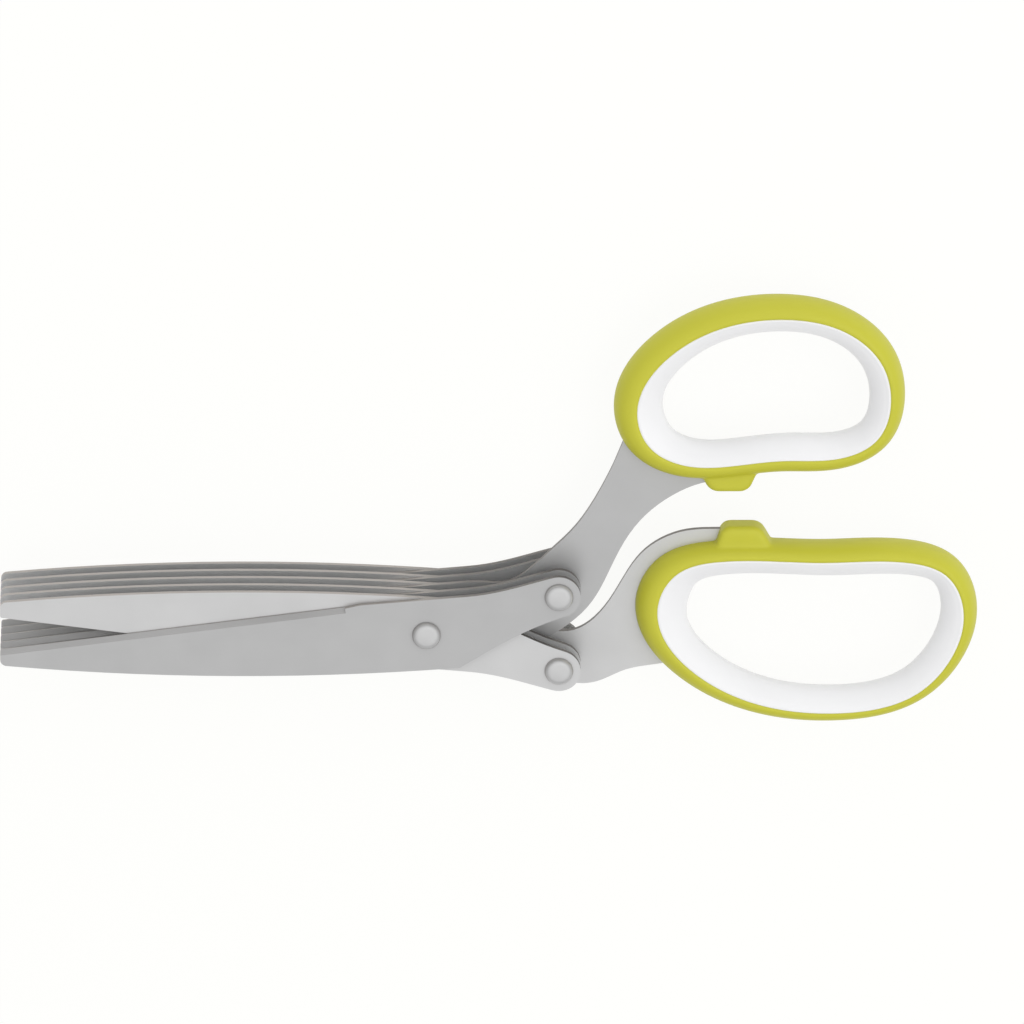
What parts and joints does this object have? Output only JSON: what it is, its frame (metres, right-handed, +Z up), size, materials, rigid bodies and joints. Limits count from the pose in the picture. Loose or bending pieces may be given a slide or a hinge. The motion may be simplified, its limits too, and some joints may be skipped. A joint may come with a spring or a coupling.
{
  "type": "herb scissors",
  "caption": "Multi-blade herb scissors: a stack of paired steel blades on one pivot rivet, with two soft-edged ring handles and closing bumpers.",
  "frame": {"origin": "on the pivot's axis, at the flat of the pivot rivet's bottom head, where the scissors rest on a table", "axes": "+X from the pivot towards the handles, +Y from the finger handle towards the thumb handle, +Z up through the stack of blades"},
  "size_m": [0.1906, 0.089, 0.0187],
  "materials": {
    "blade": "satin",
    "rivet": "satin",
    "core": "satin",
    "grip": "satin"
  },
  "bodies": {
    "finger_lever": {"upper_tang_blade": "blade", "upper_blade_1": "blade", "upper_blade_2": "blade", "upper_blade_4": "blade", "upper_blade_5": "blade", "finger_core": "core", "finger_grip": "grip", "finger_rivet": "rivet", "finger_sleeve_1": "rivet", "finger_sleeve_2": "rivet", "finger_sleeve_3": "rivet", "finger_sleeve_4": "rivet", "pivot_rivet": "rivet", "pivot_washer_1": "rivet", "pivot_washer_2": "rivet", "pivot_washer_3": "rivet", "pivot_washer_4": "rivet"},
    "thumb_lever": {"lower_tang_blade": "blade", "lower_blade_1": "blade", "lower_blade_2": "blade", "lower_blade_4": "blade", "lower_blade_5": "blade", "thumb_core": "core", "thumb_grip": "grip", "thumb_rivet": "rivet", "thumb_sleeve_1": "rivet", "thumb_sleeve_2": "rivet", "thumb_sleeve_3": "rivet", "thumb_sleeve_4": "rivet"}
  },
  "joints": [
    {"name": "pivot", "type": "hinge", "parent": "finger_lever", "child": "thumb_lever", "pos_m": [0, 0, 0], "axis": [0, 0, 1], "range_deg": [-6.4, 42]}
  ]
}
